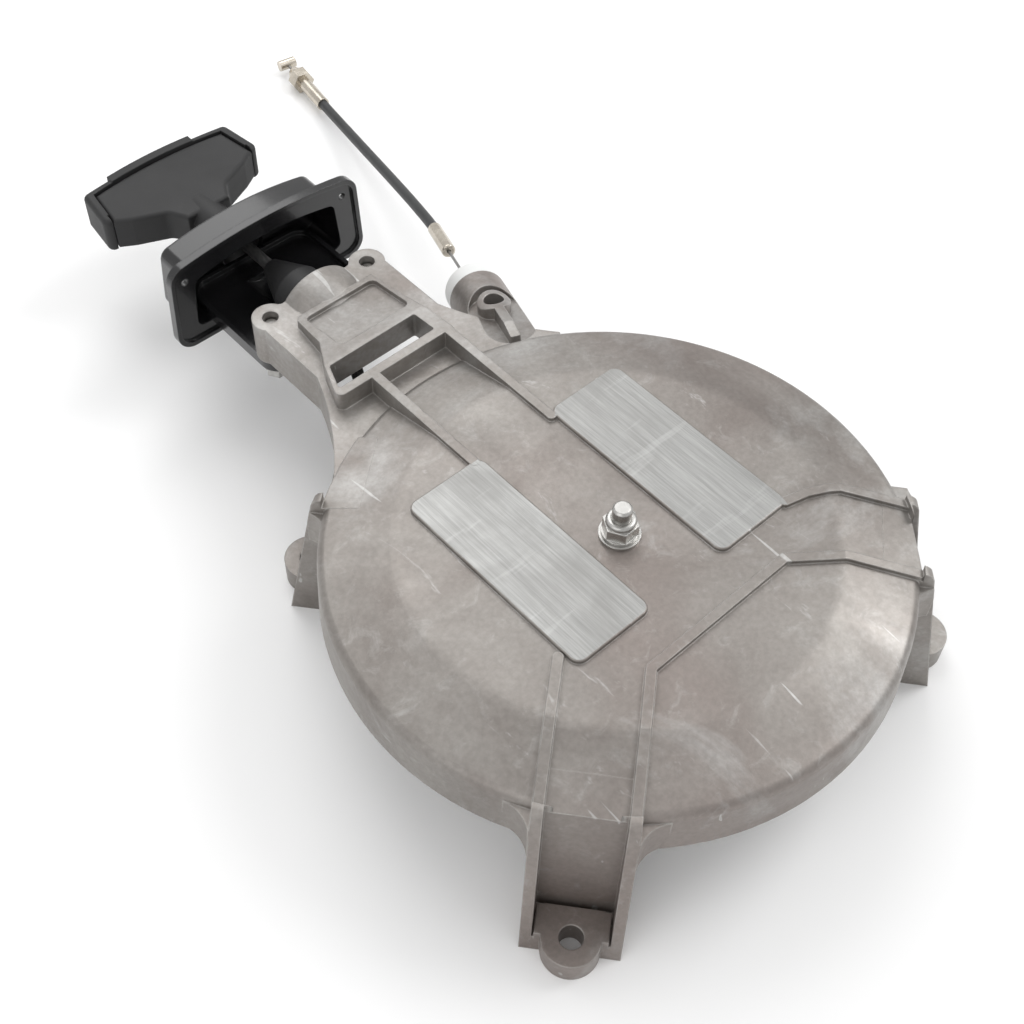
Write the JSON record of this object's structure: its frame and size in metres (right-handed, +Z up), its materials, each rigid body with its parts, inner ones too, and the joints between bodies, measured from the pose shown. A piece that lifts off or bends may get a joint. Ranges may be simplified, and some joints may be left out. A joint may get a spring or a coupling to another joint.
{
  "type": "recoil starter",
  "caption": "Cast engine recoil starter on three feet, with a rope drum, a T-handle on a guide housing at the end of a neck, and a cable-worked interlock plunger.",
  "frame": {"origin": "on the spindle axis, level with the undersides of the three feet", "axes": "+Z up along the spindle, +Y along the neck towards the pull handle, +X towards the interlock arm's side"},
  "size_m": [0.2666, 0.5387, 0.098],
  "materials": {
    "cast": "matt die casting with scuffed edges",
    "machined": "turned aluminium",
    "zinc": "zinc plated steel",
    "steel": "hardened steel",
    "spring_steel": "blued spring steel",
    "nickel": "nickel plated fitting",
    "bronze": "sintered bronze",
    "gloss_black": "glossy black moulding",
    "rubber": "matt black rubber",
    "nylon": "white nylon",
    "sheath": "satin black sheath",
    "rope": "braided dark grey rope"
  },
  "bodies": {
    "case": {"starter_case": "cast", "centre_bolt": "zinc", "centre_nut": "zinc", "top_washer": "zinc", "spindle_sleeve": "steel", "bolt_washer": "zinc", "rope_inner_run": "rope", "rewind_spring": "spring_steel", "spring_liner": "steel", "plate_friction_ring": "steel", "rope_guide": "rubber", "guide_housing": "gloss_black", "guide_screws": "zinc", "guide_washers": "zinc", "plunger_spring": "spring_steel", "plunger_cap": "nylon", "cable_sheath": "sheath", "near_ferrule": "nickel", "cable_adjuster": "nickel", "adjuster_nut": "nickel", "cable_wire_middle": "steel"},
    "handle": {"handle_grip": "rubber", "handle_cover": "rubber", "handle_washer": "zinc", "handle_knot": "rope", "rope_outer_run": "rope"},
    "drum": {"rope_drum": "machined", "lock_teeth": "steel", "drum_bush": "bronze", "rope_coil": "rope", "rope_drum_knot": "rope", "pawl_pin": "steel"},
    "pawl": {"drive_pawl": "steel", "pawl_peg": "steel"},
    "plate": {"drive_plate": "zinc", "plate_hub": "zinc", "plate_return_spring": "spring_steel"},
    "plunger": {"interlock_plunger": "steel", "cable_wire_near": "steel"},
    "cable_end": {"cable_wire_far": "steel", "cable_nipple": "nickel"}
  },
  "joints": [
    {"name": "handle_pull", "type": "slide", "parent": "case", "child": "handle", "axis": [0, 1, 0], "range_m": [0, 1.5], "stiffness_N_per_m": 2},
    {"name": "drum_spin", "type": "hinge", "parent": "case", "child": "drum", "pos_m": [0, 0, 0.059], "axis": [0, 0, 1], "range_deg": [-1260, 0], "deforming": ["rewind_spring"]},
    {"name": "plate_turn", "type": "hinge", "parent": "drum", "child": "plate", "pos_m": [0, 0, 0.048], "axis": [0, 0, 1], "range_deg": [0, 28]},
    {"name": "pawl_swing", "type": "hinge", "parent": "drum", "child": "pawl", "pos_m": [0.034, 0, 0.05], "axis": [0, 0, 1], "range_deg": [-28, 0]},
    {"name": "plunger_lock", "type": "slide", "parent": "case", "child": "plunger", "axis": [-0.3776, -0.8982, 0.225], "range_m": [0, 0.006], "stiffness_N_per_m": 60, "deforming": ["plunger_spring"]},
    {"name": "cable_end_pull", "type": "slide", "parent": "case", "child": "cable_end", "axis": [-0.1615, -0.9869, 0], "range_m": [0, 0.006]}
  ],
  "couplings": [
    {"joint": "drum_spin", "follows": "handle_pull", "rad_per_m": -14.661},
    {"joint": "pawl_swing", "follows": "plate_turn", "ratio": -1},
    {"joint": "cable_end_pull", "follows": "plunger_lock", "ratio": 1}
  ]
}
